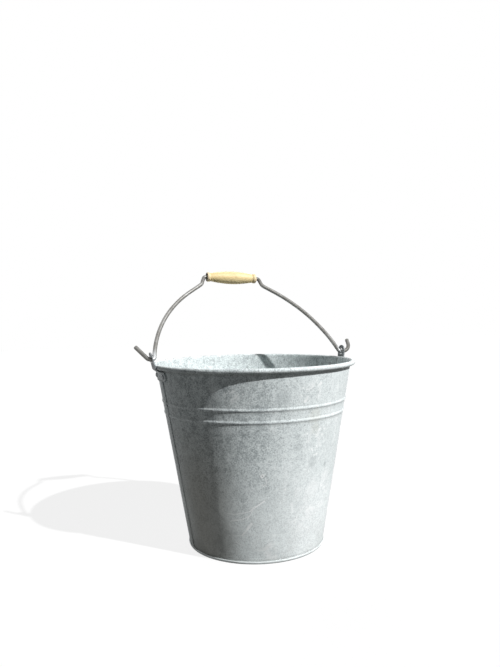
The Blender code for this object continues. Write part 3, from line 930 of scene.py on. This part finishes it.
# The bail: one wire, bent by hand, on the same line as the frame's.
bail = {
    "wire": 0.00295,
    "lean": math.radians(40),
    "height": 0.15925,
    "legInset": 0.0039,
    "shoulders": {"left": (0.0158, 0.0814), "right": (0.0172, 0.0803)},
    "kinks": {"left": (0.0075, 0.0163), "right": (0.0019, 0.0154)},
    "gripBend": 0.005,
    "kinkBend": 0.0114,
    "eyeBend": 0.005,
    "hookBends": {"left": 0.007, "right": 0.017},
    "hookReach": {"left": 0.0044, "right": 0.0160},
    "hookEnds": {"left": (0.0154, 0.0234), "right": (0.0029, 0.0232)},
    "bendStep": math.radians(5),
    "runStep": 0.004,
    "sway": 0.00012,        # how unevenly the wire was drawn over the former
    "endRound": 0.0011,     # rounding of the cut ends
    # Painted reflection: the wire's zinc is set darker than the wall's, partly to stand in for dark
    # surroundings seen in it.
    "dark": (0.190, 0.184, 0.172),
    "middle": (0.240, 0.235, 0.222),
    "pale": (0.300, 0.298, 0.288),
    "grimeAndShade": (0.085, 0.082, 0.075),
    "rubbed": (0.660, 0.680, 0.690),
}
grip = {
    "length": 0.085,
    "radius": 0.01035,
    "neck": 0.0067,
    "fullness": 0.9,        # how the belly swells: less is fuller
    "collar": 0.0078,
    "collarLength": 0.0065,
    "bore": 0.0035,
    "boreEdge": 0.0006,
    "offset": 0.0056,
    "tilt": math.radians(-2.25),
    "play": 0.001,
    "steps": 56,
    "dark": (0.740, 0.540, 0.260),
    "middle": (0.850, 0.665, 0.340),
    "pale": (0.900, 0.740, 0.425),
    "turned": (0.920, 0.790, 0.640),
    "pores": (0.400, 0.270, 0.130),
    "grimeAndShade": (0.300, 0.205, 0.110),
    "endGrain": (0.165, 0.110, 0.062),
    "hole": (0.055, 0.040, 0.028),
}
bailPlace = Matrix.Translation((0, 0, pivotHeight)) @ Matrix.Rotation(-bail["lean"], 4, "X")


def roundedPath(corners):
    points = [Vector(corners[0][:2])]
    for before, here, after in zip(corners, corners[1:], corners[2:]):
        middle = Vector(here[:2])
        back = (Vector(before[:2]) - middle).normalized()
        ahead = (Vector(after[:2]) - middle).normalized()
        turn = math.pi - back.angle(ahead)
        tangent = here[2] * math.tan(turn / 2)
        centre = middle + (back + ahead).normalized() * (here[2] / math.cos(turn / 2))
        start = middle + back * tangent - centre
        way = 1 if start.cross(middle + ahead * tangent - centre) > 0 else -1
        steps = max(math.ceil(turn / bail["bendStep"]), round(turn * here[2] / bail["runStep"]), 1)
        for k in range(steps + 1):
            points.append(centre + Matrix.Rotation(way * turn * k / steps, 2) @ start)
    points.append(Vector(corners[-1][:2]))
    return points


def bailSide(side):      # corners in the bail's own plane, from the grip to the hook's end
    sign = sides[side]
    along = Vector((math.cos(grip["tilt"]), math.sin(grip["tilt"]))) * sign
    out, down = bail["kinks"][side]
    kinkRun = Vector((sign * out, -down))
    allowance = bail["gripBend"] * math.tan(along.angle(kinkRun) / 2)
    gripEnd = Vector((grip["offset"], bail["height"])) + along * (
        grip["length"] / 2 + grip["play"] + allowance)
    kink = gripEnd + kinkRun
    eye = neckPoint(ear["lean"][side], pivotHeight).x
    legFoot = Vector((sign * (eye - bail["legInset"]), 0))
    inset, height = bail["shoulders"][side]
    shoulder = legFoot + Vector((-sign * inset, height))
    hook = Vector((sign * (eye + bail["hookReach"][side]), 0))
    splay, rise = bail["hookEnds"][side]
    tip = hook + Vector((sign * splay, rise))
    toKink, toFoot = kink - shoulder, legFoot - shoulder
    arcTurn = math.pi - toKink.angle(toFoot)
    kinkTangent = bail["kinkBend"] * math.tan(kinkRun.angle(-toKink) / 2)
    footTangent = bail["eyeBend"] * math.tan(toFoot.angle(Vector((sign, 0))) / 2)
    room = min(toKink.length - kinkTangent, toFoot.length - footTangent) * 0.98
    return [(*gripEnd, bail["gripBend"]), (*kink, bail["kinkBend"]),
            (*shoulder, room / math.tan(arcTurn / 2)), (*legFoot, bail["eyeBend"]),
            (*hook, bail["hookBends"][side]), (*tip, 0)]


def spaced(points, longest):       # extra points on the long straight runs
    result = [points[0]]
    for before, after in zip(points, points[1:]):
        pieces = max(1, round((after - before).length / longest))
        result += [before.lerp(after, k / pieces) for k in range(1, pieces + 1)]
    return result


def bailMesh():
    path = spaced(roundedPath(bailSide("left")[::-1] + bailSide("right")), bail["runStep"])
    curve = bpy.data.curves.new("bailWire", "CURVE")
    curve.dimensions = "3D"
    curve.bevel_depth = bail["wire"]
    curve.bevel_resolution = 7
    curve.use_fill_caps = True
    caps = []
    for end, inner in ((path[0], path[1]), (path[-1], path[-2])):
        run = (end - inner).normalized() * bail["endRound"]
        caps.append([(end - run * (1 - math.sin(a)), math.cos(a) * 0.35 + 0.65)
                     for a in (0, 0.5, 1.0, 1.57)])
    spots = caps[0][::-1] + [(p, 1.0) for p in path[1:-1]] + caps[1]
    spline = curve.splines.new("POLY")
    spline.points.add(len(spots) - 1)
    for spot, (point, radius) in zip(spline.points, spots):
        free = smooth(point.y, 0.012, 0.035) * (1 - smooth(point.y, 0.125, 0.14))
        lookup = Vector((point.x * 30, point.y * 30, 1.7))
        spot.co = (point.x + bail["sway"] * free * noise.noise(lookup),
                   bail["sway"] * 1.5 * free * noise.noise(lookup + Vector((5, 0, 0))), point.y, 1)
        spot.radius = radius
    mesh = smoothed(applied(curve), 60)
    mesh.transform(bailPlace)
    return mesh


def bailFinish():
    f = Finish("wireZinc", bailPlace, Specular_IOR_Level=0.25,
               Specular_Tint=(0.25, 0.25, 0.24, 1))
    grain = f.clouds(900, detail=3, roughness=0.6)
    mottle = f.clouds(240, detail=4, roughness=0.62)
    patches = f.clouds(60, detail=4, roughness=0.6, distortion=0.6)
    tone = 0.2 * mottle + 0.8 * patches + 0.1 * (grain - 0.5)
    steel = f.shades(tone, (0.32, 0.52), (0.46, 0.66), bail)
    reach = f.x.size()
    hooks = reach.rise(0.138, 0.146) * f.z.fall(0.006, 0.02)
    bright = hooks * reach.near(0.149, 0.005)
    nearGrip = f.z.rise(0.148, 0.156) * reach.fall(0.05, 0.064)
    # Painted shade, with grime: darker at the hooks in the ears' eyes and next to the grip's ends.
    grimeAndShade = (0.45 * hooks + 0.35 * nearGrip).held() * (0.5 + mottle)
    steel = f.mix(grimeAndShade, steel, bail["grimeAndShade"])
    steel = f.mix(0.8 * bright, steel, bail["rubbed"])
    rough = 0.38 + 0.06 * (mottle - 0.4) - 0.04 * bright
    normal = f.bumps((patches, 0.00006), (mottle, 0.00002), (grain, 0.00001))
    return f.paint(steel, 0.45 + 0.2 * patches, rough, normal)


addPiece("bailWire", bailMesh(), bailFinish(), "bail", "bail_wire", "bail")
print("bail made")


# The grip: turned from pale wood, with a collar at each end.
gripPlace = (bailPlace @ Matrix.Translation((grip["offset"], 0, bail["height"]))
             @ Matrix.Rotation(math.pi / 2 - grip["tilt"], 4, "Y"))


def gripProfile():
    collarStart = grip["length"] / 2 - grip["collarLength"]
    half = []
    for k in range(25):
        swell = math.cos(math.pi * k / 48)**grip["fullness"]
        radius = grip["neck"] + (grip["radius"] - grip["neck"]) * swell
        half.append((radius, collarStart * k / 24))
    collar = grip["collarLength"]
    for share, along in ((0.885, 0.05), (0.93, 0.16), (0.975, 0.32), (1.0, 0.50), (0.995, 0.66),
                         (0.975, 0.80), (0.94, 0.91), (0.89, 0.975), (0.83, 1.0)):
        half.append((grip["collar"] * share, collarStart + collar * along))
    outline = [(r, -z) for r, z in reversed(half[1:])] + half
    bore = grip["bore"]
    end = grip["length"] / 2
    edge = grip["boreEdge"]
    return outline + [(bore + edge, end), (bore, end - edge), (bore, edge - end),
                      (bore + edge, -end)]


def gripMesh():
    mesh = turnedMesh("gripWood", gripProfile(), grip["steps"], closed=True, sharp=55)
    mesh.transform(gripPlace)
    return mesh


def gripFinish():
    f = Finish("turnedWood", gripPlace, Specular_IOR_Level=0.35)
    along = f.z.size()
    fibres = f.clouds(1.0, detail=5, roughness=0.62, at=f.stretched(1500, 1500, 42))
    grain = f.clouds(1.0, detail=3, roughness=0.5, distortion=0.4, at=f.stretched(300, 300, 14))
    waves = f.clouds(1.0, detail=2, at=f.stretched(60, 60, 12))
    bands = f.x * 900 + waves * 9
    rings = bands.maths("SINE", bands) * 0.5 + 0.5
    tone = 0.44 * grain + 0.26 * fibres + 0.1 * rings + 0.2 * waves
    wood = f.shades(tone, (0.28, 0.5), (0.44, 0.66), grip)
    pores = f.clouds(1.0, detail=2, roughness=0.4, at=f.stretched(2600, 2600, 110)).rise(0.63, 0.69)
    wood = f.mix(0.22 * pores, wood, grip["pores"])

    # Painted shade in the turned lines and in the grooves behind the collars, with grime from
    # handling; dark end grain.
    lines = f.z.near(0.0036, 0.00035) + 0.7 * f.z.near(0.0058, 0.0003)
    end = grip["length"] / 2
    groove = along.near(end - grip["collarLength"], 0.0013)
    endGrain = along.rise(end - 0.0004, end - 0.0001)
    handling = f.clouds(45, detail=4, roughness=0.6).rise(0.5, 0.68)
    wood = f.mix(0.6 * along.rise(end - grip["collarLength"], end), wood, grip["turned"])
    grimeAndShade = 0.1 * handling + 0.45 * groove * (0.4 + grain) + 0.22 * lines
    wood = f.mix(grimeAndShade, wood, grip["grimeAndShade"])
    wood = f.mix(0.75 * endGrain, wood, grip["endGrain"])
    # Painted shade: darker towards the mouth of the bore.
    hole = f.x.hypot(f.y).fall(grip["bore"] + 0.0008, grip["bore"] + 0.002)
    wood = f.mix(0.8 * hole, wood, grip["hole"])
    rough = 0.5 + 0.2 * (fibres - 0.4) + 0.2 * endGrain
    normal = f.bumps((grain, 0.0001), (1 - lines.held(), 0.00014), (1 - pores, 0.00006),
                     (fibres, 0.00004))
    return f.paint(wood, 0.0, rough, normal)


addPiece("gripWood", gripMesh(), gripFinish(), "grip", "turned_wood", "grip")
print("grip made")


# A pale floor, plain studio light, and white all round.
studio = {
    "key": (4.5, 1.0, (0.400, -0.640, 0.656)),  # strength, degrees across, where from
    "fill": (0.9, 60, (-0.05, 0.80, 0.60)),
    "air": 0.032,
    "floorColour": 0.15,
    "floorGlow": 0.84,
    "floorReach": 6.0,
}


def seenDirectly(nodes):     # 1 for rays that show the background, 0 for rays that light things
    return reduce(Field.most, [nodes.node("ShaderNodeLightPath", output="Is " + kind + " Ray")
                               for kind in ("Camera", "Glossy", "Transmission")])


def addFloor():
    bm = bmesh.new()
    bmesh.ops.create_grid(bm, x_segments=2, y_segments=2, size=studio["floorReach"])
    mesh = meshFrom("floor", bm, 40)
    pale = bpy.data.materials.new("paleFloor")
    nodes = Nodes(pale)
    matt = nodes.node("ShaderNodeBsdfDiffuse", None, {"Color": (*[studio["floorColour"]] * 3, 1)})
    glow = nodes.node("ShaderNodeEmission", None,
                      {"Strength": studio["floorGlow"] * seenDirectly(nodes)})
    both = nodes.node("ShaderNodeAddShader", None, {0: matt, 1: glow})
    nodes.feed(nodes.tree.nodes["Material Output"].inputs["Surface"], both)
    mesh.materials.append(pale)
    placed("floor", mesh)


def addLight():
    for name in ("key", "fill"):
        strength, width, source = studio[name]
        lamp = bpy.data.lights.new(name, "SUN")
        lamp.energy = strength
        lamp.angle = math.radians(width)
        light = placed(name, lamp)
        light.rotation_euler = Vector(source).to_track_quat("Z", "Y").to_euler()

    world = bpy.data.worlds.new("studioAir")
    bpy.context.scene.world = world
    nodes = Nodes(world)
    strength = nodes.node("ShaderNodeMapRange", None,
                          {"Value": seenDirectly(nodes), "To Min": studio["air"]})
    air = nodes.tree.nodes["Background"]
    nodes.feed(air.inputs["Color"], (1, 1, 1, 1))
    nodes.feed(air.inputs["Strength"], strength)


addFloor()
addLight()
bpy.context.scene.view_settings.view_transform = "Standard"
print("floor and light set")
